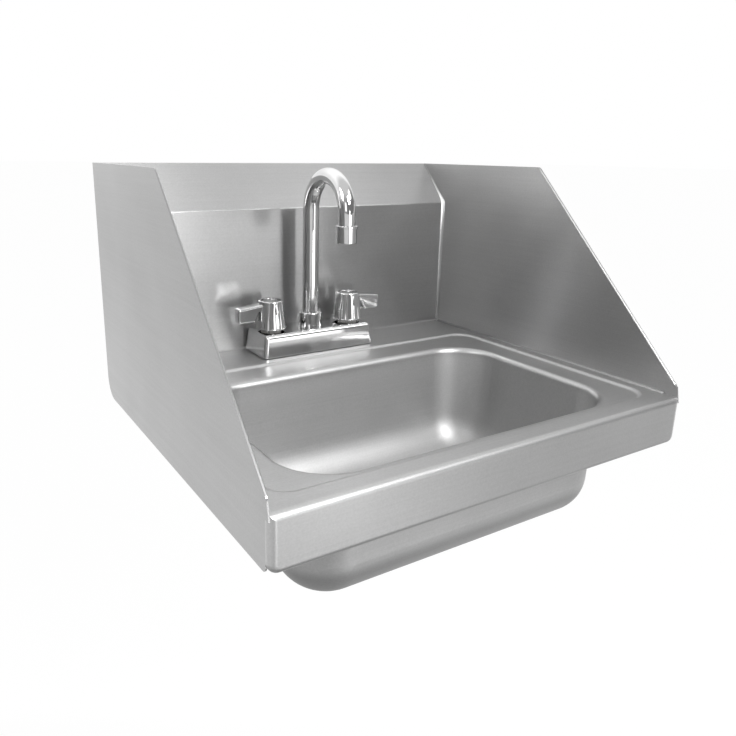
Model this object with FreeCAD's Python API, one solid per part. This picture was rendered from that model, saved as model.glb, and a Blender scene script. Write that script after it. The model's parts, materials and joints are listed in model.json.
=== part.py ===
import FreeCAD, Part
import math
import os

os.makedirs("parts", exist_ok=True)
Vec = FreeCAD.Vector
ORIGIN = Vec(0, 0, 0)
X_AXIS = Vec(1, 0, 0)
Y_AXIS = Vec(0, 1, 0)
Z_AXIS = Vec(0, 0, 1)

# Sizes in millimetres. Working frame: X to the right, the wall at Y = 0, the front towards -Y,
# and Z = 0 on the flat border of the deck. The frame of the written pieces has its origin on the
# wall, in the middle of the bracket's four holes.

# Whole basin
width = 432.0
depth = 394.0
sheet = 1.2
overrun = 5.0
same_point = 0.001
near = 0.05

# Side splashes
splash_height = 205.7
splash_top_depth = 200.0
splash_nose_height = 10.5
splash_nose_gap = 1.0
splash_nose_lean = 3.0
splash_top_round = 4.0
splash_nose_round = 6.0
splash_toe_round = 4.0
splash_heel_round = 22.0

# Backsplash, its return to the wall and its hanging lip
backsplash_offset = 46.0
backsplash_cove = 3.0
crease_bend = 3.0
return_angle = 48.4
lip_bend = 2.0
lip_drop = 32.0

# Deck, recess and front apron
apron_height = 44.5
apron_lap = 6.0
apron_bend = 5.0
apron_corner = 8.0
border = 20.0
side_border = 11.0
faucet_ledge = 62.0
recess_drop = 2.5
recess_step = 6.0
recess_corner = 24.0

# Bowl
bowl_side_ledge = 21.0
bowl_front_ledge = 1.0
bowl_back_ledge = 29.0
bowl_depth = 123.0
bowl_edge_bend = 6.0
bowl_floor_bend = 40.0
bowl_floor_corner = 4.0
bowl_draft = 2.5

# Wall bracket
bracket_width = 300.0
bracket_sheet = 2.0
bracket_plate = 52.0
bracket_hook = 22.0
bracket_bend = 2.5
bracket_hole_r = 3.6
bracket_hole_run = 228.6
bracket_hole_rise = 25.4
lip_gap = 0.4
lip_rest_gap = 0.2

# Drain
drain_hole_r = 25.4
drain_seat_r = 40.0
drain_seat_drop = 2.5
drain_seat_step = 6.0
drain_flange_r = 31.8
drain_flange_thick = 2.0
drain_flange_round = 1.2
drain_thread_r = 23.8
drain_thread_length = 36.0
drain_outlet_r = 18.0
drain_gasket_thick = 1.0
drain_washer_r = 33.0
drain_washer_thick = 3.0
drain_ring_thick = 1.0
drain_nut_r = 34.0
drain_nut_thick = 8.0
drain_nut_lug = 5.0
drain_nut_lugs = 6

# Strainer
cup_r = 20.5
cup_height = 14.0
cup_wall = 0.8
cup_hole_r = 1.7
cup_hole_rows = 3
cup_gap = 0.4
cup_rest_gap = 0.05
pull_post_r = 2.2
pull_post_height = 11.0
pull_knob_r = 5.0
pull_knob_height = 5.0
pull_knob_round = 1.5

# Fits
thread_gap = 0.03
relief_depth = 0.5
relief_width = 1.5
running_gap = 0.05
loose_gap = 0.1
hole_gap = 0.2

# Faucet base
faucet_setback = 27.0
handle_centres = 101.6
base_gasket = 1.0
base_gasket_inset = 2.6
base_length = 143.0
base_depth = 52.0
base_height = 24.5
base_draft = 3.0
base_corner = 4.0
base_edge_round = 4.5
base_wall = 3.5
valve_boss_r = 13.0
spout_boss_r = 13.0
waterway_width = 14.0
waterway_r = 2.0
waterway_depth = 3.6
waterway_sump = 1.0

# Inlet shanks under the deck
shank_r = 10.3
shank_bore_r = 7.0
shank_length = 52.0
shank_socket = 11.5
deck_hole_r = 13.0
shank_washer_r = 17.5
shank_washer_thick = 2.0
shank_nut_flats = 32.0
shank_nut_thick = 9.0

# Valves
valve_web = 2.0
valve_port_r = 5.0
seal_thick = 1.7
seal_r = 7.0
disc_r = 6.9
disc_thick = 2.0
disc_port_r = 2.4
disc_port_centre = 3.6
cartridge_r = 9.5
chamber_r = 7.2
bonnet_flats = 22.0
bonnet_thick = 5.0
bonnet_neck_r = 7.0
bonnet_neck = 5.0
stem_r = 4.0
stem_flange_r = 6.5
stem_flange_thick = 2.2

# Lever handles
hub_lift = 2.5
hub_height = 32.0
hub_bottom_r = 18.0
hub_top_r = 13.8
hub_wall = 3.0
hub_bottom_round = 2.4
hub_rim_round = 1.2
hub_skirt = 17.5
hub_boss_r = 8.0
hub_boss = 9.0
hub_web = 4.3
hub_dish_r = 11.0
hub_dish = 2.0
flute_count = 16
flute_r = 5.0
flute_depth = 0.45
flute_margin = 4.0
lever_reach = 41.5
lever_width = 12.0
lever_drop = 1.5
lever_slope = 4.5
lever_height = 16.5
lever_root_height = 9.0
lever_root_reach = 16.0
lever_undercut = 6.0
lever_round = 2.4
handle_screw_r = 2.0
handle_screw_head_r = 4.0
handle_screw_head = 3.2
handle_screw_grip = 7.0
index_cap_r = 8.0
index_cap_thick = 2.4
index_cap_proud = 0.6
index_cap_round = 0.8

# Spout
spout_r = 9.0
spout_wall = 1.5
spout_reach = 72.5
spout_arc_height = 158.1
spout_drop = 11.6
nipple_r = 11.0
nipple_height = 7.0
spigot_r = 8.0
spigot_bore_r = 5.0
spigot_length = 8.5
shoulder_r = 11.7
shoulder_thick = 3.0
ring_groove = 1.4
ring_groove_width = 2.1
ring_end_margin = 1.2
ring_round = 0.5
bush_thick = 3.5
collar_bottom_r = 13.0
collar_top_r = 13.4
collar_lip = 2.9
collar_round = 1.2

# Aerator
aerator_r = 10.8
aerator_height = 17.8
aerator_bead = 0.7
aerator_bead_height = 2.4
aerator_round = 0.5
neck_r = 8.6
neck_length = 8.3
insert_r = 8.0
insert_thick = 6.5
insert_hole_r = 0.55
insert_hole_rows = 3
insert_lip = 0.8
insert_lip_height = 1.5
aerator_washer_thick = 1.3
aerator_washer_bore_r = 6.0

# Places that follow from the sizes
inside_x = width / 2 - sheet
deck_back = -(backsplash_offset + backsplash_cove)
lap_y = -(depth - apron_lap)
recess_half_x = width / 2 - side_border
recess_front = -(depth - border)
recess_back = -(backsplash_offset + faucet_ledge)
bowl_half_x = recess_half_x - recess_step - bowl_side_ledge
bowl_front = recess_front + recess_step + bowl_front_ledge
bowl_back = recess_back - recess_step - bowl_back_ledge
bowl_mid_y = (bowl_front + bowl_back) / 2
bowl_lean = bowl_depth * math.tan(math.radians(bowl_draft))
floor_room = min(bowl_half_x, (bowl_back - bowl_front) / 2) - bowl_edge_bend - bowl_lean - drain_seat_r
floor_bend = min(bowl_floor_bend, floor_room - bowl_floor_corner)
seat_z = -bowl_depth - drain_seat_drop
faucet_y = -(backsplash_offset + faucet_setback)
base_top = base_gasket + base_height
valve_floor = base_gasket + shank_socket + valve_web
hub_bottom = base_top + hub_lift
hub_top = hub_bottom + hub_height
nipple_top = base_top + nipple_height
spout_end = spout_arc_height - spout_drop
lip_foot = splash_height - lip_drop
bracket_jog = sheet + lip_gap
bracket_top_of_plate = lip_foot - lip_rest_gap - bracket_jog
mount_z = bracket_top_of_plate - bracket_plate / 2


# General shapes

def box(x0, x1, y0, y1, z0, z1):
    return Part.makeBox(x1 - x0, y1 - y0, z1 - z0, Vec(x0, y0, z0))


def disc(radius, z0, z1, x=0, y=0):
    return Part.makeCylinder(radius, z1 - z0, Vec(x, y, z0))


def ring(outer, inner, z0, z1, x=0, y=0):
    hole = disc(inner, z0 - overrun, z1 + overrun, x, y)
    return disc(outer, z0, z1, x, y).cut(hole)


def hexagon(flats, z0, z1, x=0, y=0):
    corner = flats / (2 * math.cos(math.pi / 6))
    points = []
    for k in range(7):
        turn = math.pi / 3 * k
        points.append(Vec(x + corner * math.cos(turn), y + corner * math.sin(turn), z0))
    return Part.Face(Part.makePolygon(points)).extrude(Vec(0, 0, z1 - z0))


def turned(profile):
    """Solid of revolution about Z from a closed outline of (radius, height) points."""
    points = [Vec(radius, 0, height) for radius, height in profile]
    face = Part.Face(Part.makePolygon(points + points[:1]))
    return face.revolve(ORIGIN, Z_AXIS, 360)


def edges_at(shape, z, beyond=0):
    """Edges that lie at one height and reach further out than a radius."""
    found = []
    for edge in shape.Edges:
        limits = edge.BoundBox
        if abs(limits.ZMin - z) < near and abs(limits.ZMax - z) < near and limits.XMax > beyond:
            found.append(edge)
    return found


def relieved(shape, radius, top):
    """Thread cut back in a narrow groove below a nut."""
    inner = radius - relief_depth
    return shape.cut(ring(radius + overrun, inner, top - relief_width, top))


def fused(pieces):
    return pieces[0].multiFuse(pieces[1:]).removeSplitter()


def moved(shape, x, y):
    copy = shape.copy()
    copy.translate(Vec(x, y, 0))
    return copy


def rounded_face(points, rounds):
    """Flat face through the points, each corner rounded by its radius."""
    count = len(points)
    stops = []
    for k in range(count):
        corner = points[k]
        towards_last = (points[k - 1] - corner).normalize()
        towards_next = (points[(k + 1) % count] - corner).normalize()
        half = towards_last.getAngle(towards_next) / 2
        if rounds[k] == 0:
            stops.append((corner, None, corner))
            continue
        back = rounds[k] / math.tan(half)
        middle = (towards_last + towards_next).normalize()
        crown = corner + middle * (rounds[k] / math.sin(half) - rounds[k])
        stops.append((corner + towards_last * back, crown, corner + towards_next * back))
    edges = []
    for k in range(count):
        start, crown, end = stops[k]
        if crown is not None:
            edges.append(Part.Arc(start, crown, end).toShape())
        following = stops[(k + 1) % count][0]
        if end.distanceToPoint(following) > same_point:
            edges.append(Part.LineSegment(end, following).toShape())
    return Part.Face(Part.Wire(edges))


def rounded_plate(half_x, y0, y1, corner, z0, z1):
    """Upright plate with a rounded rectangle for its plan, symmetric about X = 0."""
    points = [Vec(-half_x, y0, z0), Vec(half_x, y0, z0), Vec(half_x, y1, z0), Vec(-half_x, y1, z0)]
    return rounded_face(points, [corner] * 4).extrude(Vec(0, 0, z1 - z0))


def folded_sheet(points, bends, thickness, x0, x1):
    """Sheet folded along X. The points (y, z) follow one face, with the metal on its right."""
    face_line = [Vec(x0, y, z) for y, z in points]
    runs = [(face_line[k + 1] - face_line[k]).normalize() for k in range(len(points) - 1)]
    sides = [run.cross(X_AXIS) for run in runs]
    back_line = [face_line[0] + sides[0] * thickness]
    back_bends = []
    for k in range(len(bends)):
        mitre = (sides[k] + sides[k + 1]) * (thickness / (1 + sides[k].dot(sides[k + 1])))
        back_line.append(face_line[k + 1] + mitre)
        turns_left = runs[k].cross(runs[k + 1]).dot(X_AXIS) > 0
        back_bends.append(bends[k] + thickness if turns_left else bends[k] - thickness)
    back_line.append(face_line[-1] + sides[-1] * thickness)
    rounds = [0] + bends + [0, 0] + back_bends[::-1] + [0]
    return rounded_face(face_line + back_line[::-1], rounds).extrude(Vec(x1 - x0, 0, 0))


# Pressed sheet: a section of arcs carried round a rounded rectangle or a circle

def polar(centre_u, centre_z, radius, angle):
    turn = math.radians(angle)
    return centre_u + radius * math.cos(turn), centre_z + radius * math.sin(turn)


def sheet_section(arcs, offset):
    """Face in the XZ plane of a sheet whose upper side runs through the arcs.

    An arc is (centre u, centre z, radius, first angle, last angle, side). Side is -1 where the
    centre lies on the metal's side and +1 where it lies in the open.
    """
    def point(arc, radius, angle):
        u, z = polar(arc[0], arc[1], radius, angle)
        return Vec(offset + u, 0, z)

    sides = []
    for grow in (0, sheet):
        curves = []
        for arc in arcs:
            radius = arc[2] + arc[5] * grow
            angles = (arc[3], (arc[3] + arc[4]) / 2, arc[4])
            curves.append([point(arc, radius, angle) for angle in angles])
        sides.append(curves)
    lower = [curve[::-1] for curve in sides[1]][::-1]
    loop = sides[0] + lower
    edges = []
    for k, curve in enumerate(loop):
        following = loop[(k + 1) % len(loop)][0]
        edges.append(Part.Arc(*curve).toShape())
        if curve[2].distanceToPoint(following) > same_point:
            edges.append(Part.LineSegment(curve[2], following).toShape())
    return Part.Face(Part.Wire(edges))


def step_arcs(top, drop, run):
    """Two equal arcs that lead a sheet down by a drop within a run."""
    bend = 2 * math.degrees(math.atan(drop / run))
    radius = run / (2 * math.sin(math.radians(bend)))
    first = (0, top - radius, radius, 90, 90 + bend, -1)
    second = (-run, top - drop + radius, radius, bend - 90, -90, 1)
    return [first, second]


def carried_round(arcs, half_x, y0, y1, corner):
    """A pressed section carried round a rounded rectangle."""
    straight_x = half_x - corner
    straight_y = (y1 - y0) / 2 - corner
    pieces = []
    for k in range(4):
        reach, run = (straight_x, straight_y) if k % 2 == 0 else (straight_y, straight_x)
        side = sheet_section(arcs, reach + corner)
        side.translate(Vec(0, -run, 0))
        side = side.extrude(Vec(0, 2 * run, 0))
        bend = sheet_section(arcs, corner).revolve(ORIGIN, Z_AXIS, 90)
        bend.translate(Vec(reach, run, 0))
        for piece in (side, bend):
            piece.rotate(ORIGIN, Z_AXIS, 90 * k)
            piece.translate(Vec(0, (y0 + y1) / 2, 0))
            pieces.append(piece)
    return pieces


# Sheet metal pieces

def bowl_arcs():
    """Edge bend, drafted wall and floor bend of the bowl."""
    lean = math.radians(bowl_draft)
    top = -recess_drop
    wall_top = top - bowl_edge_bend * (1 - math.sin(lean))
    wall_foot = -bowl_depth + floor_bend * (1 - math.sin(lean))
    wall_lean = (wall_top - wall_foot) * math.tan(lean)
    inward = bowl_edge_bend * math.cos(lean) + wall_lean + floor_bend * math.cos(lean)
    edge = (0, top - bowl_edge_bend, bowl_edge_bend, 90, 180 - bowl_draft, -1)
    floor = (-inward, -bowl_depth + floor_bend, floor_bend, -bowl_draft, -90, 1)
    return [edge, floor], inward


def apron_block(inset, back):
    """Rounded block of the front apron, drawn in by an inset on every outer side."""
    half_x = width / 2 - inset
    front = -depth + inset
    foot = -apron_height + inset
    block = box(-half_x, half_x, front, back, foot, -inset)

    def along_y(edge):
        return abs(edge.tangentAt(edge.FirstParameter).y) > math.cos(math.pi / 6)

    lower = [e for e in block.Edges if along_y(e) and e.BoundBox.ZMax < foot / 2]
    block = block.makeFillet(apron_corner - inset, lower)
    outer = [e for e in block.Edges if e.BoundBox.YMax < front + sheet / 2]
    return block.makeFillet(apron_bend - inset, outer)


def bowl_deck():
    arcs, inward = bowl_arcs()
    bowl_corner = bowl_floor_corner + inward
    inner_back = recess_back - recess_step
    inner_front = recess_front + recess_step
    inner_half_x = recess_half_x - recess_step
    recess_floor = -recess_drop

    plate = box(-inside_x, inside_x, lap_y, deck_back, -sheet, 0)
    plate = plate.cut(rounded_plate(recess_half_x, recess_front, recess_back, recess_corner,
                                    -overrun, overrun))
    step = carried_round(step_arcs(0, recess_drop, recess_step), recess_half_x, recess_front, recess_back,
                         recess_corner)
    ledge = rounded_plate(inner_half_x, inner_front, inner_back, recess_corner - recess_step,
                          recess_floor - sheet, recess_floor)
    ledge = ledge.cut(rounded_plate(bowl_half_x, bowl_front, bowl_back, bowl_corner,
                                    recess_floor - overrun, recess_floor + overrun))
    walls = carried_round(arcs, bowl_half_x, bowl_front, bowl_back, bowl_corner)
    floor = rounded_plate(bowl_half_x - inward, bowl_front + inward, bowl_back - inward, bowl_floor_corner,
                          -bowl_depth - sheet, -bowl_depth)
    floor = floor.cut(disc(drain_seat_r, -bowl_depth - overrun, -bowl_depth + overrun, 0, bowl_mid_y))
    seat_step = sheet_section(step_arcs(-bowl_depth, drain_seat_drop, drain_seat_step), drain_seat_r)
    seat_step = moved(seat_step.revolve(ORIGIN, Z_AXIS, 360), 0, bowl_mid_y)
    seat = ring(drain_seat_r - drain_seat_step, drain_hole_r, seat_z - sheet, seat_z, 0, bowl_mid_y)
    apron = apron_block(0, lap_y).cut(apron_block(sheet, lap_y + overrun))
    beyond = width / 2 + overrun
    for x0, x1 in ((-beyond, -inside_x), (inside_x, beyond)):
        apron = apron.cut(box(x0, x1, -depth - overrun, lap_y + overrun, -apron_bend, overrun))
    shape = fused([plate, ledge, floor, seat_step, seat, apron] + step + walls)
    for x in (-handle_centres / 2, handle_centres / 2):
        shape = shape.cut(disc(deck_hole_r, -overrun, overrun, x, faucet_y))
    return shape


def backsplash():
    slope = math.radians(return_angle)
    wall_top = splash_height + lip_bend * (math.tan(slope) + 1 / math.cos(slope) - 1)
    crease = wall_top - backsplash_offset * math.tan(slope)
    points = [
        (deck_back, 0),
        (-backsplash_offset, 0),
        (-backsplash_offset, crease),
        (0, wall_top),
        (0, lip_foot),
    ]
    return folded_sheet(points, [backsplash_cove, crease_bend, lip_bend], sheet, -inside_x, inside_x)


def side_splash(x0):
    nose = -(depth - splash_nose_gap)
    outline = [
        (0, splash_height, 0),
        (-splash_top_depth, splash_height, splash_top_round),
        (nose + splash_nose_lean, splash_nose_height, splash_nose_round),
        (nose, -apron_bend, 0),
        (lap_y, -apron_bend, 0),
        (lap_y, -apron_height, splash_toe_round),
        (0, -apron_height, splash_heel_round),
    ]
    points = [Vec(x0, y, z) for y, z, _ in outline]
    return rounded_face(points, [corner for _, _, corner in outline]).extrude(Vec(sheet, 0, 0))


def wall_bracket():
    foot = bracket_top_of_plate - bracket_plate
    points = [
        (-bracket_jog, lip_foot + bracket_hook),
        (-bracket_jog, bracket_top_of_plate + bracket_jog),
        (0, bracket_top_of_plate),
        (0, foot),
    ]
    bends = [bracket_bend, bracket_bend]
    half = bracket_width / 2
    shape = folded_sheet(points, bends, bracket_sheet, -half, half)
    for x in (-bracket_hole_run / 2, bracket_hole_run / 2):
        for z in (mount_z - bracket_hole_rise / 2, mount_z + bracket_hole_rise / 2):
            hole = Part.makeCylinder(bracket_hole_r, 2 * overrun, Vec(x, -overrun, z), Y_AXIS)
            shape = shape.cut(hole)
    return shape


# Drain and strainer

flange_foot = seat_z + drain_gasket_thick
flange_top = flange_foot + drain_flange_thick
drain_foot = flange_foot - drain_thread_length
cup_foot = flange_top - cup_height
cup_seat = cup_foot - cup_rest_gap
washer_top = seat_z - sheet
friction_top = washer_top - drain_washer_thick
nut_top = friction_top - drain_ring_thick
nut_foot = nut_top - drain_nut_thick


def drain_body():
    bore_r = cup_r + cup_gap
    shape = turned([
        (drain_outlet_r, drain_foot),
        (drain_thread_r, drain_foot),
        (drain_thread_r, flange_foot),
        (drain_flange_r, flange_foot),
        (drain_flange_r, flange_top),
        (bore_r, flange_top),
        (bore_r, cup_seat),
        (drain_outlet_r, cup_seat),
    ])
    shape = shape.makeFillet(drain_flange_round, edges_at(shape, flange_top, bore_r + sheet))
    return moved(relieved(shape, drain_thread_r, nut_foot), 0, bowl_mid_y)


def drain_locknut():
    body_r = drain_nut_r - drain_nut_lug
    shape = disc(body_r, nut_foot, nut_top)
    lug = box(0, drain_nut_r, -drain_nut_lug, drain_nut_lug, nut_foot, nut_top)
    lugs = []
    for k in range(drain_nut_lugs):
        copy = lug.copy()
        copy.rotate(ORIGIN, Z_AXIS, 360 * k / drain_nut_lugs)
        lugs.append(copy)
    shape = fused([shape] + lugs)
    shape = shape.cut(disc(drain_thread_r + thread_gap, nut_foot - overrun, nut_top + overrun))
    return moved(shape, 0, bowl_mid_y)


def drain_rings():
    bore_r = drain_thread_r + hole_gap
    y = bowl_mid_y
    return {
        "drain_gasket": ring(drain_flange_r - drain_flange_round, bore_r, seat_z, flange_foot, 0, y),
        "drain_rubber_washer": ring(drain_washer_r, bore_r, friction_top, washer_top, 0, y),
        "drain_friction_ring": ring(drain_washer_r, bore_r, nut_top, friction_top, 0, y),
    }


def hole_rows(radius, hole_r, rows, z0, z1):
    """Round holes in rings about a clear middle, six more in each ring."""
    pitch = radius / (rows + 1)
    holes = []
    for row in range(1, rows + 1):
        for k in range(6 * row):
            turn = 2 * math.pi * k / (6 * row)
            holes.append(disc(hole_r, z0, z1, pitch * row * math.cos(turn), pitch * row * math.sin(turn)))
    return holes


def crumb_cup():
    floor_top = cup_foot + cup_wall
    shape = disc(cup_r, cup_foot, flange_top).cut(disc(cup_r - cup_wall, floor_top, flange_top + overrun))
    holes = hole_rows(cup_r - cup_wall, cup_hole_r, cup_hole_rows, cup_foot - overrun, floor_top + overrun)
    return moved(shape.cut(Part.makeCompound(holes)), 0, bowl_mid_y)


def strainer_pull():
    foot = cup_foot + cup_wall
    knob_foot = foot + pull_post_height
    knob = disc(pull_knob_r, knob_foot, knob_foot + pull_knob_height)
    knob_ends = edges_at(knob, knob_foot) + edges_at(knob, knob_foot + pull_knob_height)
    knob = knob.makeFillet(pull_knob_round, knob_ends)
    return moved(fused([disc(pull_post_r, foot, knob_foot), knob]), 0, bowl_mid_y)


# Faucet base and what holds it to the deck

def base_block(inset, z0, z1):
    """Drafted block of the faucet base between two heights, drawn in by an inset."""
    levels = []
    for z in (z0, z1):
        lean = base_draft * (z - base_gasket) / base_height
        half_x = base_length / 2 - inset - lean
        half_y = base_depth / 2 - inset - lean
        signs = ((-1, -1), (1, -1), (1, 1), (-1, 1))
        levels.append([Vec(sx * half_x, sy * half_y, z) for sx, sy in signs])
    low, high = levels
    outlines = [low[::-1], high]
    for k in range(4):
        after = (k + 1) % 4
        outlines.append([low[k], low[after], high[after], high[k]])
    faces = [Part.Face(Part.makePolygon(outline + outline[:1])) for outline in outlines]
    block = Part.makeSolid(Part.Shell(faces))
    uprights = [e for e in block.Edges if e.BoundBox.ZLength > (z1 - z0) / 2]
    return block.makeFillet(base_corner, uprights)


def faucet_body():
    half = handle_centres / 2
    boss_foot_z = base_gasket - 2 * overrun
    bar_foot = base_top - 2 * waterway_depth
    hollow = base_block(base_wall, base_gasket - overrun, base_top - base_wall)
    hollow = hollow.cut(disc(spout_boss_r, boss_foot_z, base_top))
    for x in (-half, half):
        hollow = hollow.cut(disc(valve_boss_r, boss_foot_z, base_top, x))
    hollow = hollow.cut(box(-half, half, -waterway_width / 2, waterway_width / 2, bar_foot, base_top))
    shape = base_block(0, base_gasket, base_top)
    shape = shape.makeFillet(base_edge_round, edges_at(shape, base_top, -base_length)).cut(hollow)
    shape = shape.fuse(disc(nipple_r, base_top - base_wall / 2, nipple_top)).removeSplitter()

    socket_top = base_gasket + shank_socket
    valve_bore = turned([
        (0, base_gasket - overrun),
        (shank_r + thread_gap, base_gasket - overrun),
        (shank_r + thread_gap, socket_top),
        (valve_port_r, socket_top),
        (valve_port_r, valve_floor),
        (cartridge_r + thread_gap, valve_floor),
        (cartridge_r + thread_gap, base_top + overrun),
        (0, base_top + overrun),
    ])
    for x in (-half, half):
        shape = shape.cut(moved(valve_bore, x, 0))
    channel_z = base_top - waterway_depth
    sump = channel_z - waterway_r - waterway_sump
    shape = shape.cut(disc(spigot_r + running_gap, sump, nipple_top + overrun))
    shape = shape.cut(Part.makeCylinder(waterway_r, handle_centres, Vec(-half, 0, channel_z), X_AXIS))
    return moved(shape, 0, faucet_y)


def faucet_base_gasket():
    shape = base_block(base_gasket_inset, 0, base_gasket)
    for x in (-handle_centres / 2, handle_centres / 2):
        shape = shape.cut(disc(shank_r + hole_gap, -overrun, base_gasket + overrun, x))
    return moved(shape, 0, faucet_y)


def inlet_shank(x):
    shape = ring(shank_r, shank_bore_r, -shank_length, base_gasket + shank_socket)
    nut_foot_z = -sheet - shank_washer_thick - shank_nut_thick
    return moved(relieved(shape, shank_r, nut_foot_z), x, faucet_y)


def shank_washer(x):
    washer = ring(shank_washer_r, shank_r + hole_gap, -sheet - shank_washer_thick, -sheet)
    return moved(washer, x, faucet_y)


def shank_locknut(x):
    top = -sheet - shank_washer_thick
    nut = hexagon(shank_nut_flats, top - shank_nut_thick, top)
    nut = nut.cut(disc(shank_r + thread_gap, top - shank_nut_thick - overrun, top + overrun))
    return moved(nut, x, faucet_y)


# Valves: a seal, a fixed disc and a turning disc under a cartridge, and the stem

fixed_disc_foot = valve_floor + seal_thick
moving_disc_foot = fixed_disc_foot + disc_thick + loose_gap
stem_foot = moving_disc_foot + disc_thick
chamber_top = stem_foot + stem_flange_thick + loose_gap
bonnet_top = base_top + bonnet_thick
neck_top = bonnet_top + bonnet_neck
boss_foot = hub_bottom + hub_skirt - hub_boss
stem_top = hub_bottom + hub_skirt + hub_web / 4
screw_seat = hub_bottom + hub_skirt + hub_web
screw_foot = stem_top - handle_screw_grip


def seat_seal(x):
    return moved(ring(seal_r, valve_port_r, valve_floor, fixed_disc_foot), x, faucet_y)


def valve_disc(x, foot):
    shape = disc(disc_r, foot, foot + disc_thick)
    for side in (-1, 1):
        shape = shape.cut(disc(disc_port_r, foot - overrun, foot + overrun, side * disc_port_centre))
    return moved(shape, x, faucet_y)


def valve_cartridge(x):
    barrel = disc(cartridge_r, fixed_disc_foot, base_top)
    bonnet = hexagon(bonnet_flats, base_top, bonnet_top)
    neck = disc(bonnet_neck_r, bonnet_top, neck_top)
    shape = fused([barrel, bonnet, neck])
    shape = shape.cut(disc(chamber_r, fixed_disc_foot - overrun, chamber_top))
    shape = shape.cut(disc(stem_r + running_gap, chamber_top - overrun, neck_top + overrun))
    window = Vec(-cartridge_r - overrun, 0, base_top - waterway_depth)
    shape = shape.cut(Part.makeCylinder(waterway_r / 2, 2 * (cartridge_r + overrun), window, X_AXIS))
    return moved(shape, x, faucet_y)


def valve_stem(x):
    flange = disc(stem_flange_r, stem_foot, stem_foot + stem_flange_thick)
    shape = fused([flange, disc(stem_r, stem_foot, stem_top)])
    shape = shape.cut(disc(handle_screw_r + thread_gap, screw_foot - loose_gap, stem_top + overrun))
    return moved(shape, x, faucet_y)


# Lever handles, drawn about their own axis with the lever along +X

def hub_radius(z):
    return hub_bottom_r + (hub_top_r - hub_bottom_r) * (z - hub_bottom) / hub_height


def hub_flutes():
    """Round bars that cut the hub's flutes, deepest at its foot and run out below its rim."""
    run_out = hub_top - flute_margin
    low = Vec(hub_bottom_r + flute_r - flute_depth, 0, hub_bottom)
    high = Vec(hub_radius(run_out) + flute_r, 0, run_out)
    along = (high - low).normalize()
    bar = Part.makeCylinder(flute_r, hub_height + 2 * overrun, low - along * overrun, along)
    bars = []
    for k in range(flute_count):
        copy = bar.copy()
        copy.rotate(ORIGIN, Z_AXIS, 360 * (k + 0.5) / flute_count)
        bars.append(copy)
    return bars


def lever_blade():
    root_top = hub_top - lever_drop
    tip_top = root_top - lever_slope
    tip_foot = tip_top - lever_height
    outline = [
        (0, root_top),
        (lever_reach, tip_top),
        (lever_reach, tip_foot),
        (lever_root_reach + lever_undercut, tip_foot),
        (lever_root_reach, root_top - lever_root_height),
        (0, root_top - lever_root_height),
    ]
    points = [Vec(x, -lever_width / 2, z) for x, z in outline]
    blade = Part.Face(Part.makePolygon(points + points[:1])).extrude(Vec(0, lever_width, 0))
    outer = [e for e in blade.Edges if e.BoundBox.XMax > lever_root_reach]
    return blade.makeFillet(lever_round, outer)


def lever_handle():
    cavity_top = hub_bottom + hub_skirt
    bore_r = stem_r + thread_gap
    dish_floor = hub_top - hub_dish
    cap_floor = dish_floor + index_cap_proud - index_cap_thick
    hub = turned([(0, hub_bottom), (hub_bottom_r, hub_bottom), (hub_top_r, hub_top), (0, hub_top)])
    hub = hub.makeFillet(hub_bottom_round, edges_at(hub, hub_bottom, hub_boss_r))
    hub = hub.makeFillet(hub_rim_round, edges_at(hub, hub_top, hub_boss_r))
    for bar in hub_flutes():
        hub = hub.cut(bar)
    shape = hub.fuse(lever_blade()).removeSplitter()
    cavity = turned([
        (0, hub_bottom - overrun),
        (hub_radius(hub_bottom) - hub_wall, hub_bottom - overrun),
        (hub_radius(hub_bottom) - hub_wall, hub_bottom),
        (hub_radius(cavity_top) - hub_wall, cavity_top),
        (0, cavity_top),
    ])
    shape = shape.cut(cavity)
    shape = shape.fuse(disc(hub_boss_r, boss_foot, cavity_top + hub_web / 2)).removeSplitter()
    cuts = [
        disc(bore_r, boss_foot - overrun, stem_top + loose_gap),
        disc(handle_screw_r + hole_gap, stem_top, hub_top),
        disc(handle_screw_head_r + hole_gap, screw_seat, hub_top),
        disc(index_cap_r + thread_gap, cap_floor, hub_top),
        disc(hub_dish_r, dish_floor, hub_top + overrun),
    ]
    for cut in cuts:
        shape = shape.cut(cut)
    return shape


def handle_screw():
    head_top = screw_seat + handle_screw_head
    head = disc(handle_screw_head_r, screw_seat, head_top)
    shape = fused([head, disc(handle_screw_r, screw_foot, screw_seat)])
    socket = hexagon(handle_screw_r * 2, screw_seat + handle_screw_head / 2, head_top + overrun)
    return shape.cut(socket)


def index_cap():
    foot = hub_top - hub_dish + index_cap_proud - index_cap_thick
    shape = disc(index_cap_r, foot, foot + index_cap_thick)
    return shape.makeFillet(index_cap_round, edges_at(shape, foot + index_cap_thick))


def placed_handle(shape, side):
    """Copy of a handle piece on the hot side (-1, lever to the left) or the cold side (+1)."""
    copy = shape.copy()
    if side < 0:
        copy.rotate(ORIGIN, Z_AXIS, 180)
    return moved(copy, side * handle_centres / 2, faucet_y)


# Spout, drawn about its own axis with the outlet towards -Y

shoulder_foot = nipple_top + loose_gap
shoulder_top = shoulder_foot + shoulder_thick
bush_foot = shoulder_top + loose_gap
bush_top = bush_foot + bush_thick
collar_top = bush_top + collar_lip
spigot_foot = shoulder_foot - spigot_length
ring_feet = (spigot_foot + ring_end_margin, shoulder_foot - ring_end_margin - ring_groove_width)
aerator_top = spout_end
neck_foot = spout_end - neck_length
washer_foot = neck_foot - aerator_washer_thick
insert_foot = washer_foot - insert_thick
aerator_foot = aerator_top - aerator_height


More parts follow.
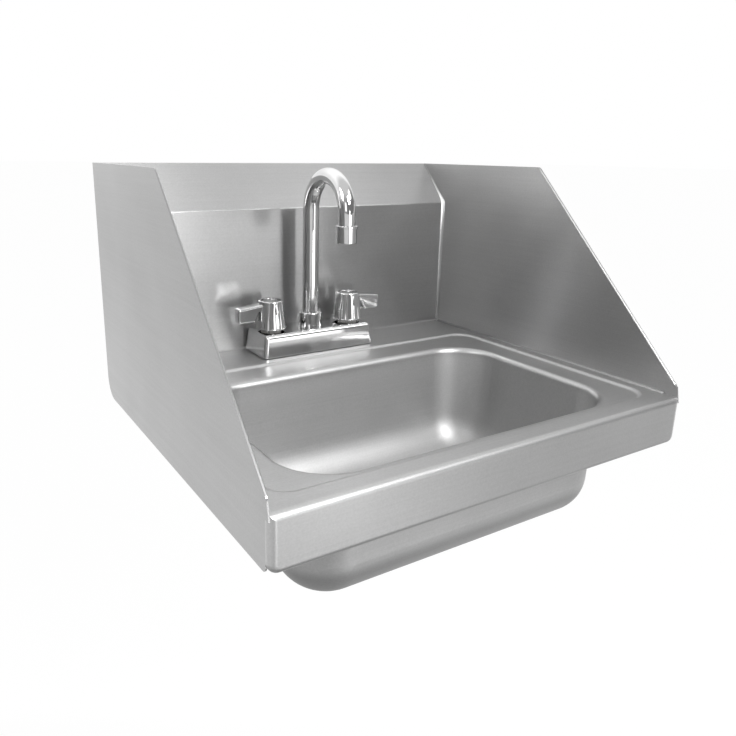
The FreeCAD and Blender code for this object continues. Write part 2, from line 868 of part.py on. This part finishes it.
def tube_section(radius, wall):
    outer = Part.Face(Part.Wire(Part.makeCircle(radius, ORIGIN, Z_AXIS)))
    return outer.cut(Part.Face(Part.Wire(Part.makeCircle(radius - wall, ORIGIN, Z_AXIS))))


def gooseneck_spout():
    bore_r = spout_r - spout_wall
    section = tube_section(spout_r, spout_wall)
    section.translate(Vec(0, 0, shoulder_top))
    riser = section.extrude(Vec(0, 0, spout_arc_height - shoulder_top))
    crown_section = tube_section(spout_r, spout_wall)
    crown_section.translate(Vec(0, 0, spout_arc_height))
    crown = crown_section.revolve(Vec(0, -spout_reach / 2, spout_arc_height), X_AXIS, 180)
    drop = ring(spout_r, bore_r, spout_end, spout_arc_height, 0, -spout_reach)
    neck = ring(neck_r, bore_r, neck_foot, spout_end, 0, -spout_reach)
    root = turned([
        (spigot_bore_r, spigot_foot),
        (spigot_r, spigot_foot),
        (spigot_r, shoulder_foot),
        (shoulder_r, shoulder_foot),
        (shoulder_r, shoulder_top),
        (spigot_bore_r, shoulder_top),
    ])
    for foot in ring_feet:
        root = root.cut(ring(spigot_r + overrun, spigot_r - ring_groove, foot, foot + ring_groove_width))
    return moved(fused([riser, crown, drop, neck, root]), 0, faucet_y)


def spout_o_rings():
    rings = []
    for foot in ring_feet:
        body = ring(spigot_r + running_gap / 2, spigot_r - ring_groove, foot, foot + ring_groove_width)
        outer = edges_at(body, foot, spigot_r) + edges_at(body, foot + ring_groove_width, spigot_r)
        rings.append(moved(body.makeFillet(ring_round, outer), 0, faucet_y))
    return Part.makeCompound(rings)


def spout_collar():
    bush_bore = shoulder_r + hole_gap
    shape = turned([
        (nipple_r + thread_gap, base_top),
        (collar_bottom_r, base_top),
        (collar_top_r, collar_top),
        (spout_r + hole_gap, collar_top),
        (spout_r + hole_gap, bush_top),
        (bush_bore, bush_top),
        (bush_bore, nipple_top),
        (nipple_r + thread_gap, nipple_top),
    ])
    return moved(shape.makeFillet(collar_round, edges_at(shape, collar_top, bush_bore)), 0, faucet_y)


def spout_bush():
    return moved(ring(shoulder_r + loose_gap, spout_r + loose_gap, bush_foot, bush_top), 0, faucet_y)


# Aerator at the spout's outlet

def aerator_housing():
    lip_r = insert_r - insert_lip
    bore_r = insert_r + thread_gap
    lip_top = insert_foot
    shape = turned([
        (lip_r, aerator_foot),
        (aerator_r, aerator_foot),
        (aerator_r, aerator_top - aerator_bead_height),
        (aerator_r + aerator_bead, aerator_top - aerator_bead_height),
        (aerator_r + aerator_bead, aerator_top),
        (neck_r + thread_gap, aerator_top),
        (neck_r + thread_gap, washer_foot),
        (bore_r, washer_foot),
        (bore_r, lip_top),
        (lip_r, lip_top),
    ])
    bead_r = aerator_r + aerator_bead / 2
    rims = edges_at(shape, aerator_top, bead_r) + edges_at(shape, aerator_top - aerator_bead_height, bead_r)
    rims += edges_at(shape, aerator_foot, bore_r)
    return moved(shape.makeFillet(aerator_round, rims), 0, faucet_y - spout_reach)


def aerator_insert():
    shape = disc(insert_r, insert_foot, washer_foot)
    clear_r = insert_r - insert_lip
    shape = shape.cut(disc(clear_r - insert_lip, insert_foot - overrun, insert_foot + insert_lip_height))
    holes = hole_rows(clear_r, insert_hole_r, insert_hole_rows, insert_foot, washer_foot + overrun)
    return moved(shape.cut(Part.makeCompound(holes)), 0, faucet_y - spout_reach)


def aerator_washer():
    return moved(ring(neck_r, aerator_washer_bore_r, washer_foot, neck_foot), 0, faucet_y - spout_reach)


# Every piece under its name

hot_x = -handle_centres / 2
cold_x = handle_centres / 2
lever = lever_handle()
screw = handle_screw()
cap = index_cap()

pieces = {
    "bowl_deck": bowl_deck(),
    "backsplash": backsplash(),
    "left_side_splash": side_splash(-width / 2),
    "right_side_splash": side_splash(inside_x),
    "wall_bracket": wall_bracket(),
    "drain_body": drain_body(),
    "drain_locknut": drain_locknut(),
    "crumb_cup": crumb_cup(),
    "strainer_pull": strainer_pull(),
    "faucet_body": faucet_body(),
    "faucet_base_gasket": faucet_base_gasket(),
    "shank_washers": Part.makeCompound([shank_washer(hot_x), shank_washer(cold_x)]),
    "shank_locknuts": Part.makeCompound([shank_locknut(hot_x), shank_locknut(cold_x)]),
    "valve_seat_seals": Part.makeCompound([seat_seal(hot_x), seat_seal(cold_x)]),
    "spout_collar": spout_collar(),
    "spout_bush": spout_bush(),
    "gooseneck_spout": gooseneck_spout(),
    "spout_o_rings": spout_o_rings(),
    "aerator_housing": aerator_housing(),
    "aerator_insert": aerator_insert(),
    "aerator_washer": aerator_washer(),
}
pieces.update(drain_rings())
for name, side, x in (("hot", -1, hot_x), ("cold", 1, cold_x)):
    pieces[name + "_inlet_shank"] = inlet_shank(x)
    pieces[name + "_valve_cartridge"] = valve_cartridge(x)
    pieces[name + "_fixed_disc"] = valve_disc(x, fixed_disc_foot)
    pieces[name + "_moving_disc"] = valve_disc(x, moving_disc_foot)
    pieces[name + "_valve_stem"] = valve_stem(x)
    pieces[name + "_lever_handle"] = placed_handle(lever, side)
    pieces[name + "_handle_screw"] = placed_handle(screw, side)
    pieces[name + "_index_cap"] = placed_handle(cap, side)

for name, shape in pieces.items():
    shape.translate(Vec(0, 0, -mount_z))
    shape.exportStep("parts/" + name + ".step")
    print(name, "valid", shape.isValid(), "solids", len(shape.Solids), "volume", round(shape.Volume, 1))
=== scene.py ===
import json
import math

import bmesh
import bpy
from mathutils import Matrix, Vector


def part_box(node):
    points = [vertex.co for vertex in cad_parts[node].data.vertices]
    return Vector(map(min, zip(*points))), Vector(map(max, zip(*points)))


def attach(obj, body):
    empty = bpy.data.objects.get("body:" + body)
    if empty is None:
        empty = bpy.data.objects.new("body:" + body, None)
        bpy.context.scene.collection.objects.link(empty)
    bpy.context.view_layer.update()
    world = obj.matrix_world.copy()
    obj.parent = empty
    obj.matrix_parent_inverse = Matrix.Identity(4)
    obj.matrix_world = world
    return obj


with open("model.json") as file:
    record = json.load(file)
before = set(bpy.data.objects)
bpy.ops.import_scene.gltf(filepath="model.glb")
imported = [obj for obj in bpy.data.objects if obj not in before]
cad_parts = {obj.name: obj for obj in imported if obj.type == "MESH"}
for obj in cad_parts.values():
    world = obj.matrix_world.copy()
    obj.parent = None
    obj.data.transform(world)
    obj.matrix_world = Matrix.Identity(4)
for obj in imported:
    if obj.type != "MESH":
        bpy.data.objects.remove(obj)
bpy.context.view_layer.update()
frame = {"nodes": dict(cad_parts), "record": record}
nodes = frame["nodes"]
scene = bpy.context.scene
scene.view_settings.view_transform = "Standard"

# Places taken from the frame, in metres
deck_low, deck_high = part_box("bowl_deck")
back_low, back_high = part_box("backsplash")
splash_low, splash_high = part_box("left_side_splash")
DECK_Z = deck_high.z
INSIDE_X = back_high.x
SPLASH_TOP = splash_high.z

# Sizes of the sheet metal's forms, in metres
COVE = 0.003
CREASE_HEIGHT = 0.1572
SLOPE_RUN = 0.193
NOSE_LEAN, NOSE_HEIGHT = 0.003, 0.0105
STEP_DROP = 0.0025
APRON_BEND = 0.005
BACKSPLASH_Y = back_low.y + COVE

# Sizes of the trims that the scene adds, in metres
WELD, WELD_START = 0.0022, 0.016
CORNER_WELD, CORNER_WELD_SHARE = 0.003, 0.95
EDGE_BEAD, EDGE_END, EDGE_TIP = 0.0011, 0.009, 0.008

# Zones of the pressed deck's finish and of its painted highlight: depths below the deck and
# distances from its edges, in metres
DEEP_START, DEEP_END = 0.004, 0.016
BOWL_FRONT_START, BOWL_FRONT_END = 0.023, 0.027
STEP_FRONT_START, STEP_FRONT_END = 0.006, 0.010
STEP_EDGE_SHARE = 0.25
HIGHLIGHT_APRON_START, HIGHLIGHT_APRON_END = 0.001, 0.003
HIGHLIGHT_CORNER_START, HIGHLIGHT_CORNER_END = APRON_BEND + 0.0015, APRON_BEND - 0.0005

# Strength of the finish in those zones, of the painted highlight on the apron's corners, and of the
# painted shade on the faces that look down
DEEP_ROUGH, STEP_ROUGH = 0.11, 0.22
CORNER_PAINTED_HIGHLIGHT = 1.3
UNDERSIDE_PAINTED_SHADE, UNDERSIDE_SHADE_FULL, UNDERSIDE_SHADE_NONE = 0.72, -0.35, -0.03


def place(x, y, z):
    """Point in the model's frame from millimetres over the deck."""
    return Vector((x / 1000, y / 1000, z / 1000 + DECK_Z))


# Material nodes

class Nodes:
    """Short way to add and join a material's or the world's nodes."""

    def __init__(self, tree):
        self.tree = tree

    def add(self, kind, **inputs):
        node = self.tree.nodes.new(kind)
        for key, value in inputs.items():
            node.inputs[key.replace("_", " ")].default_value = value
        return node

    def join(self, source, target):
        self.tree.links.new(source, target)

    def math(self, operation, a, b):
        node = self.tree.nodes.new("ShaderNodeMath")
        node.operation = operation
        for socket, value in zip(node.inputs, (a, b)):
            if isinstance(value, (int, float)):
                socket.default_value = value
            else:
                self.join(value, socket)
        return node.outputs[0]

    def vector(self, operation, a, b, result="Vector"):
        node = self.tree.nodes.new("ShaderNodeVectorMath")
        node.operation = operation
        for socket, value in zip(node.inputs, (a, b)):
            if isinstance(value, (tuple, list)):
                socket.default_value = value
            else:
                self.join(value, socket)
        return node.outputs[result]

    def axes(self, vector):
        node = self.add("ShaderNodeSeparateXYZ")
        self.join(vector, node.inputs[0])
        return [node.outputs[axis] for axis in "XYZ"]

    def weighted(self, *parts):
        """Sum of sources, each times its weight."""
        terms = [self.math("MULTIPLY", source, weight) for source, weight in parts]
        total = terms[0]
        for term in terms[1:]:
            total = self.math("ADD", total, term)
        return total

    def spread(self, source, low, high, margin=0.3):
        """Value or colour from low to high, over a noise's usual values."""
        node = self.tree.nodes.new("ShaderNodeValToRGB")
        stops = ((margin, low), (1 - margin, high))
        for element, (position, value) in zip(node.color_ramp.elements, stops):
            element.position = position
            element.color = (*value, 1) if isinstance(value, tuple) else (value, value, value, 1)
        self.join(source, node.inputs[0])
        return node.outputs[0]

    def fade(self, source, start, end, low, high):
        """Soft change from low to high while the source goes from start to end."""
        node = self.tree.nodes.new("ShaderNodeMapRange")
        node.interpolation_type = "SMOOTHSTEP"
        for socket, value in zip(node.inputs[1:5], (start, end, low, high)):
            socket.default_value = value
        self.join(source, node.inputs[0])
        return node.outputs[0]

    def noise(self, coordinates, scale, detail=3.0, roughness=0.55):
        node = self.add("ShaderNodeTexNoise", Scale=scale, Detail=detail, Roughness=roughness)
        self.join(coordinates, node.inputs["Vector"])
        return node.outputs["Fac"]

    def stretched(self, coordinates, scale):
        node = self.add("ShaderNodeMapping", Scale=scale)
        self.join(coordinates, node.inputs["Vector"])
        return node.outputs[0]


def new_material(name):
    material = bpy.data.materials.new(name)
    material.use_nodes = True
    tree = Nodes(material.node_tree)
    shader = material.node_tree.nodes["Principled BSDF"]
    where = tree.add("ShaderNodeTexCoord").outputs["Object"]
    return material, tree, shader, where


def toned(tone, factor):
    return tuple(min(1, c * factor) for c in tone)


def bump(tree, shader, height, strength, distance):
    node = tree.add("ShaderNodeBump", Strength=strength, Distance=distance)
    tree.join(height, node.inputs["Height"])
    tree.join(node.outputs[0], shader.inputs["Normal"])


def painted_deck_light(tree, where, normal):
    """Factor on the pressed deck's tone: painted shade that darkens the faces that look down, and a
    painted highlight that brightens the corners at the ends of the apron."""
    x, _, z = tree.axes(where)
    _, _, upward = tree.axes(normal)
    # Painted shade: the tone darkens on faces that look down
    painted_underside_shade = tree.fade(upward, UNDERSIDE_SHADE_FULL, UNDERSIDE_SHADE_NONE, UNDERSIDE_PAINTED_SHADE, 1.0)
    from_middle = tree.math("ABSOLUTE", x, 0)
    # Painted highlight: the tone is brightened on the corners at the apron's ends
    apron_end_mask = tree.fade(from_middle, deck_high.x - HIGHLIGHT_CORNER_START, deck_high.x - HIGHLIGHT_CORNER_END, 0.0, 1.0)
    apron_highlight = tree.fade(z, DECK_Z - HIGHLIGHT_APRON_END, DECK_Z - HIGHLIGHT_APRON_START, CORNER_PAINTED_HIGHLIGHT - 1, 0.0)
    painted_highlight = tree.math("ADD", tree.math("MULTIPLY", apron_end_mask, apron_highlight), 1.0)
    return tree.math("MULTIPLY", painted_underside_shade, painted_highlight)


def pressed_roughness(tree, where):
    """Roughness added to the pressed deck's own, in the bowl and on the recess's step."""
    _, y, z = tree.axes(where)
    below = tree.fade(z, DECK_Z - DEEP_END, DECK_Z - DEEP_START, DEEP_ROUGH, 0.0)
    inside = tree.fade(y, deck_low.y + BOWL_FRONT_START, deck_low.y + BOWL_FRONT_END, 0.0, 1.0)
    edge = STEP_DROP * STEP_EDGE_SHARE
    foot = tree.fade(z, DECK_Z - STEP_DROP, DECK_Z - STEP_DROP + edge, 0.0, 1.0)
    brow = tree.fade(z, DECK_Z - edge, DECK_Z, 1.0, 0.0)
    bend_start, bend_end = deck_low.y + STEP_FRONT_START, deck_low.y + STEP_FRONT_END
    behind_bend = tree.fade(y, bend_start, bend_end, 0.0, STEP_ROUGH)
    step = tree.math("MULTIPLY", tree.math("MULTIPLY", foot, brow), behind_bend)
    return tree.math("ADD", tree.math("MULTIPLY", below, inside), step)


GRAIN_ALONG, GRAIN_ACROSS, WIDE_GRAIN_SHARE = 14, 1500, 0.22
GRAIN_DEPTH = 0.0004
STEEL_TONE_VARIES, STEEL_ROUGH_VARIES = 0.13, 0.015
TANGENT_NUDGE = (0, 0, 0.05)


def brushed_steel(name, tone, rough, anisotropy, grain, relief, pressed=False):
    """Satin sheet steel brushed along one direction, with the deck's rougher zones, painted shade
    and painted highlight if it is pressed.
    """
    material, tree, shader, where = new_material(name)
    streaks = tuple(GRAIN_ALONG if g else GRAIN_ACROSS for g in grain)
    wide_streaks = tuple(s * WIDE_GRAIN_SHARE for s in streaks)
    fine = tree.noise(tree.stretched(where, streaks), scale=1.0, detail=4.0, roughness=0.6)
    wide = tree.noise(tree.stretched(where, wide_streaks), scale=1.0, detail=2.0)
    clouds = tree.noise(where, scale=9.0)
    speckle = tree.noise(where, scale=620.0, detail=2.0, roughness=0.5)
    brushing = tree.weighted((fine, 0.65), (wide, 0.35))
    mixed = tree.weighted((brushing, 0.35), (clouds, 0.35), (speckle, 0.3))
    dark, light = toned(tone, 1 - STEEL_TONE_VARIES), toned(tone, 1 + STEEL_TONE_VARIES)
    colour = tree.spread(mixed, dark, light)
    uneven = tree.weighted((wide, 0.5), (clouds, 0.5))
    roughness = tree.spread(uneven, rough + STEEL_ROUGH_VARIES, rough - STEEL_ROUGH_VARIES)
    normal = tree.add("ShaderNodeNewGeometry").outputs["Normal"]
    if pressed:
        # Painted shade on the faces that look down and a painted highlight on the apron's corners,
        # multiplied into the tone
        colour = tree.vector("MULTIPLY", colour, painted_deck_light(tree, where, normal))
        roughness = tree.math("ADD", roughness, pressed_roughness(tree, where))
    tree.join(colour, shader.inputs["Base Color"])
    tree.join(roughness, shader.inputs["Roughness"])
    shader.inputs["Metallic"].default_value = 1.0
    shader.inputs["Anisotropic"].default_value = anisotropy
    across_grain = tree.vector("CROSS_PRODUCT", normal, grain)
    tree.join(tree.vector("ADD", across_grain, TANGENT_NUDGE), shader.inputs["Tangent"])
    bump(tree, shader, brushing, relief, GRAIN_DEPTH)
    return material


SMUDGE_MARGIN, SMUDGE_SHADE = 0.35, 0.96


def polished(name, tone, rough, smudge):
    """Plated or polished metal with faint handling marks."""
    material, tree, shader, where = new_material(name)
    marks = tree.noise(where, scale=70.0, detail=5.0, roughness=0.6)
    haze = tree.noise(where, scale=420.0, detail=2.0)
    mixed = tree.weighted((marks, 0.7), (haze, 0.3))
    colour = tree.spread(mixed, toned(tone, SMUDGE_SHADE), tone, SMUDGE_MARGIN)
    roughness = tree.spread(mixed, rough + smudge, rough, SMUDGE_MARGIN)
    tree.join(colour, shader.inputs["Base Color"])
    tree.join(roughness, shader.inputs["Roughness"])
    shader.inputs["Metallic"].default_value = 1.0
    return material


MOULDED_DARK, MOULDED_LIGHT = 0.86, 1.1
MOULDED_DULL, MOULDED_GLOSS = 0.08, 0.05
MOULDED_RELIEF = 0.2


def moulded(name, tone, rough, grain_scale, depth):
    """Rubber, plastic or ceramic with a fine moulded grain."""
    material, tree, shader, where = new_material(name)
    grain = tree.noise(where, grain_scale, detail=4.0)
    clouds = tree.noise(where, scale=60.0, detail=2.0)
    colour = tree.spread(clouds, toned(tone, MOULDED_DARK), toned(tone, MOULDED_LIGHT))
    roughness = tree.spread(grain, rough + MOULDED_DULL, rough - MOULDED_GLOSS)
    tree.join(colour, shader.inputs["Base Color"])
    tree.join(roughness, shader.inputs["Roughness"])
    bump(tree, shader, grain, MOULDED_RELIEF, depth)
    return material


def grey(level):
    return (level, level, level)


ACROSS, TO_WALL = (1, 0, 0), (0, 1, 0)
steel_tone = grey(0.49)
sheet_x = brushed_steel("sheet_brushed_across", steel_tone, 0.29, 0.93, ACROSS, 0.003)
sheet_y = brushed_steel("sheet_brushed_to_wall", steel_tone, 0.30, 0.90, TO_WALL, 0.004)
sheet_bowl = brushed_steel("sheet_pressed", steel_tone, 0.42, 0.30, ACROSS, 0.010, pressed=True)
weld = brushed_steel("ground_weld", grey(0.30), 0.60, 0.0, ACROSS, 0.02)
edge_steel = polished("rolled_edge_steel", grey(0.60), 0.34, 0.05)
chrome = polished("chrome_plate", grey(0.80), 0.045, 0.03)
drain_steel = polished("drain_steel", (0.58, 0.58, 0.57), 0.16, 0.08)
brass = polished("turned_brass", (0.72, 0.55, 0.28), 0.24, 0.1)
nickel = polished("nickel_plate", (0.64, 0.63, 0.61), 0.18, 0.08)
zinc = polished("zinc_plate", (0.56, 0.57, 0.58), 0.34, 0.1)
rubber = moulded("black_rubber", grey(0.03), 0.6, 900.0, 0.0002)
plastic = moulded("pale_plastic", (0.72, 0.72, 0.70), 0.42, 700.0, 0.0001)
ceramic = moulded("white_ceramic", (0.84, 0.83, 0.80), 0.2, 500.0, 0.00005)

by_slot = {
    "bracket_steel": zinc,
    "drain_steel": drain_steel,
    "nut_zinc": zinc,
    "gasket_rubber": rubber,
    "faucet_chrome": chrome,
    "shank_brass": brass,
    "valve_nickel": nickel,
    "ceramic": ceramic,
    "pale_plastic": plastic,
    "cap_chrome": chrome,
}
by_node = {
    "bowl_deck": sheet_bowl,
    "backsplash": sheet_x,
    "left_side_splash": sheet_y,
    "right_side_splash": sheet_y,
}
for entry in frame["record"]["subparts"]:
    node = entry["node"]
    material = by_node.get(node) or by_slot[entry["material_slot"]]
    nodes[node].data.materials.clear()
    nodes[node].data.materials.append(material)


# Trims: weld seams in the inside corners, and beads along the side splashes' sloped fronts

def add_trim(name, mesh, material):
    """Piece of the scene from a finished mesh, fixed to the basin."""
    bmesh.ops.recalc_face_normals(mesh, faces=mesh.faces)
    data = bpy.data.meshes.new(name)
    mesh.to_mesh(data)
    mesh.free()
    piece = bpy.data.objects.new(name, data)
    scene.collection.objects.link(piece)
    data.materials.append(material)
    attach(piece, "basin")


def fillet_strip(name, path, first, second, radius, material, steps=8):
    """Concave strip along a path, between the directions first and second at each point."""
    mesh = bmesh.new()
    rows = []
    for point, a, b in zip(path, first, second):
        row = []
        for k in range(steps + 1):
            turn = math.pi / 2 * k / steps
            offset = a * (1 - math.sin(turn)) + b * (1 - math.cos(turn))
            row.append(mesh.verts.new(point + offset * radius))
        row.append(mesh.verts.new(point))
        rows.append(row)
    count = steps + 2
    for here, there in zip(rows, rows[1:]):
        for k in range(count):
            after = (k + 1) % count
            face = mesh.faces.new((here[k], here[after], there[after], there[k]))
            face.smooth = k < steps
    mesh.faces.new(rows[0][::-1])
    mesh.faces.new(rows[-1])
    add_trim(name, mesh, material)


def rolled_edge(name, start, end, radius, tip, sides=12, caps=5, blunt_share=0.05):
    """Round bead from start to end, with ends that taper over the length of the tip."""
    mesh = bmesh.new()
    run = (end - start).normalized()
    first = Vector((1, 0, 0))
    second = run.cross(first)
    steps = [(start, math.pi / 2 * (k / caps - 1)) for k in range(caps + 1)]
    steps += [(end, math.pi / 2 * k / caps) for k in range(caps + 1)]
    rings = []
    for point, turn in steps:
        centre = point + run * tip * math.sin(turn)
        reach = radius * max(math.cos(turn), blunt_share)
        rings.append([
            mesh.verts.new(centre + (first * math.cos(a) + second * math.sin(a)) * reach)
            for a in (2 * math.pi * k / sides for k in range(sides))
        ])
    for here, there in zip(rings, rings[1:]):
        for k in range(sides):
            after = (k + 1) % sides
            mesh.faces.new((here[k], here[after], there[after], there[k])).smooth = True
    mesh.faces.new(rings[0][::-1])
    mesh.faces.new(rings[-1])
    add_trim(name, mesh, edge_steel)


up = Vector((0, 0, 1))
front = Vector((0, -1, 0))
crease_z = DECK_Z + CREASE_HEIGHT
return_run = Vector((0, -BACKSPLASH_Y, SPLASH_TOP - crease_z)).normalized()
return_length = (SPLASH_TOP - crease_z) / return_run.z
off_return = Vector((0, -return_run.z, return_run.y))
mitre = (front + off_return) / (1 + front.dot(off_return))
slope_top = Vector((0, splash_low.y + SLOPE_RUN, SPLASH_TOP))
slope_foot = Vector((0, splash_low.y + NOSE_LEAN, DECK_Z + NOSE_HEIGHT))
slope = (slope_foot - slope_top).normalized()
into_sheet = Vector((0, -slope.z, slope.y))
for side, name in ((-1, "left"), (1, "right")):
    inward = Vector((-side, 0, 0))
    wall = side * INSIDE_X
    deck_run = [Vector((wall, deck_low.y + WELD_START, DECK_Z)), Vector((wall, back_low.y, DECK_Z))]
    fillet_strip(name + "_deck_weld", deck_run, [inward] * 2, [up] * 2, WELD, weld)
    crease = Vector((wall, BACKSPLASH_Y, crease_z))
    corner_run = [
        Vector((wall, BACKSPLASH_Y, DECK_Z + COVE)),
        crease,
        crease + return_run * CORNER_WELD_SHARE * return_length,
    ]
    off_back = [front, mitre, off_return]
    fillet_strip(name + "_corner_weld", corner_run, [inward] * 3, off_back, CORNER_WELD, edge_steel)
for side, name in ((-1, "left"), (1, "right")):
    outer = Vector((side * (-splash_low.x - EDGE_BEAD), 0, 0))
    start = slope_top + slope * EDGE_END + into_sheet * EDGE_BEAD + outer
    end = slope_foot - slope * EDGE_END + into_sheet * EDGE_BEAD + outer
    rolled_edge(name + "_rolled_edge", start, end, EDGE_BEAD, EDGE_TIP)


# Stage: a seamless floor, white behind the basin and pale grey in front of it and on its left

FLOOR_DROP = 850
FLOOR_HALF = 60.0
FLOOR_TONE, FLOOR_ROUGH, FLOOR_GLOSS = 0.9, 0.9, 0.1
AWAY = (0.518, 0.855, 0)
NEAR_LEVEL, NEAR_START, NEAR_END = 0.40, -0.6, 0.3
LEFT_LEVEL, LEFT_START, LEFT_END = 0.71, -1.9, -0.4
SHOWN_SHARE = 0.95


def plane(name, points, material):
    data = bpy.data.meshes.new(name)
    data.from_pydata(points, [], [tuple(range(len(points)))])
    piece = bpy.data.objects.new(name, data)
    scene.collection.objects.link(piece)
    data.materials.append(material)


def shown(tree):
    """One for rays that show the floor's plain tone: seen direct, in metal or through glass."""
    path = tree.add("ShaderNodeLightPath")
    seen = tree.math("MAXIMUM", path.outputs["Is Camera Ray"], path.outputs["Is Glossy Ray"])
    return tree.math("MAXIMUM", seen, path.outputs["Is Transmission Ray"])


floor_material, tree, shader, where = new_material("pale_floor")
shader.inputs["Base Color"].default_value = (*grey(FLOOR_TONE), 1)
shader.inputs["Roughness"].default_value = FLOOR_ROUGH
shader.inputs["Specular IOR Level"].default_value = FLOOR_GLOSS
distance_away = tree.vector("DOT_PRODUCT", where, AWAY, "Value")
glow = tree.add("ShaderNodeEmission", Strength=1.0)
shade = tree.fade(distance_away, NEAR_START, NEAR_END, NEAR_LEVEL, 1.0)
on_right = tree.fade(tree.axes(where)[0], LEFT_START, LEFT_END, 0.0, 1.0)
off_left = tree.math("MULTIPLY", on_right, tree.math("SUBTRACT", shade, LEFT_LEVEL))
tree.join(tree.math("ADD", off_left, LEFT_LEVEL), glow.inputs["Color"])
mixing = tree.add("ShaderNodeMixShader")
tree.join(tree.math("MULTIPLY", shown(tree), SHOWN_SHARE), mixing.inputs[0])
tree.join(shader.outputs[0], mixing.inputs[1])
tree.join(glow.outputs[0], mixing.inputs[2])
tree.join(mixing.outputs[0], floor_material.node_tree.nodes["Material Output"].inputs["Surface"])
FLOOR_Z = place(0, 0, -FLOOR_DROP).z
plane("floor", [
    (-FLOOR_HALF, -FLOOR_HALF, FLOOR_Z),
    (FLOOR_HALF, -FLOOR_HALF, FLOOR_Z),
    (FLOOR_HALF, FLOOR_HALF, FLOOR_Z),
    (-FLOOR_HALF, FLOOR_HALF, FLOOR_Z),
], floor_material)

# Room: white behind the basin, darker in front of it, lighter overhead
FRONT_LEFT, FRONT_RIGHT, FRONT_TOP = 0.36, 0.2, 0.72
BACK_LEVEL, BACK_TOP = 1.0, 1.3
BACK_START, BACK_END = -0.1, 0.35
SIDE_START, SIDE_END = -0.8, -0.2
TOP_START, TOP_END = 0.3, 0.8
world = bpy.data.worlds.new("studio")
scene.world = world
world.use_nodes = True
tree = Nodes(world.node_tree)
background = world.node_tree.nodes["Background"]
x, y, z = tree.axes(tree.add("ShaderNodeTexCoord").outputs["Generated"])
behind = tree.fade(y, BACK_START, BACK_END, 0.0, 1.0)
room = tree.fade(x, SIDE_START, SIDE_END, FRONT_LEFT, FRONT_RIGHT)
to_back = tree.math("MULTIPLY", behind, tree.math("SUBTRACT", BACK_LEVEL, room))
low = tree.math("ADD", room, to_back)
high = tree.fade(y, BACK_START, BACK_END, FRONT_TOP, BACK_TOP)
above = tree.fade(z, TOP_START, TOP_END, 0.0, 1.0)
rise = tree.math("MULTIPLY", tree.math("SUBTRACT", high, low), above)
tree.join(tree.math("ADD", low, rise), background.inputs["Color"])
background.inputs["Strength"].default_value = 1.0


# Lights

BOX_SIZE, BOX_DISTANCE = 0.8, 2.3
AIM = place(0, -200, 40)


def towards(azimuth, elevation):
    """Direction from the basin; azimuth 0 is in front, positive to the right."""
    a, e = math.radians(azimuth), math.radians(elevation)
    return Vector((math.sin(a) * math.cos(e), -math.cos(a) * math.cos(e), math.sin(e)))


def soft_box(name, azimuth, elevation, power,
             width=BOX_SIZE, height=BOX_SIZE, distance=BOX_DISTANCE):
    """Soft box that faces the basin."""
    direction = towards(azimuth, elevation)
    data = bpy.data.lights.new(name, "AREA")
    data.shape = "RECTANGLE"
    data.size = width
    data.size_y = height
    data.energy = power
    lamp = bpy.data.objects.new(name, data)
    lamp.location = AIM + direction * distance
    lamp.visible_camera = False
    lamp.rotation_mode = "QUATERNION"
    lamp.rotation_quaternion = (-direction).to_track_quat("-Z", "Y")
    scene.collection.objects.link(lamp)


soft_box("key", 6, 34, 46)
soft_box("low_fill", 24, -9, 3.0)
soft_box("left_side", -80, 32, 15)
soft_box("left_front", -45, 15, 2.5)
soft_box("right_upper", 42, 42, 5.3)
soft_box("low_front", 5, -4, 4.4, width=0.32, height=1.0)
soft_box("floor_bounce", 19, -28, 1.1, width=0.45, height=0.45, distance=1.6)


# Camera, fitted to the photograph's corners

FOCAL_PX, FRAME_PX = 679.8, 736
CENTRE_X, CENTRE_Y = 320.3, 339.1
CAMERA_AZIMUTH, CAMERA_ELEVATION, CAMERA_ROLL = -31.22, 15.45, 0.73
CAMERA_PLACE = place(-386.0, -733.1, 219.7)


def camera_axes(azimuth, elevation, roll):
    """The camera's right, up and back, turned about its view by the roll."""
    r = math.radians(roll)
    back = towards(azimuth, elevation)
    right = (-back).cross(up).normalized()
    above = right.cross(-back)
    rolled_right = right * math.cos(r) + above * math.sin(r)
    rolled_up = above * math.cos(r) - right * math.sin(r)
    return rolled_right, rolled_up, back


lens = bpy.data.cameras.new("camera")
lens.sensor_width = 36.0
lens.lens = lens.sensor_width * FOCAL_PX / FRAME_PX
lens.shift_x = (FRAME_PX / 2 - CENTRE_X) / FRAME_PX
lens.shift_y = -(FRAME_PX / 2 - CENTRE_Y) / FRAME_PX
lens.clip_start = 0.01
lens.clip_end = 200.0
camera = bpy.data.objects.new("camera", lens)
scene.collection.objects.link(camera)
turned = camera_axes(CAMERA_AZIMUTH, CAMERA_ELEVATION, CAMERA_ROLL)
axes = Matrix([list(axis) for axis in turned]).transposed()
camera.matrix_world = Matrix.Translation(CAMERA_PLACE) @ axes.to_4x4()
scene.camera = camera

bpy.context.view_layer.update()
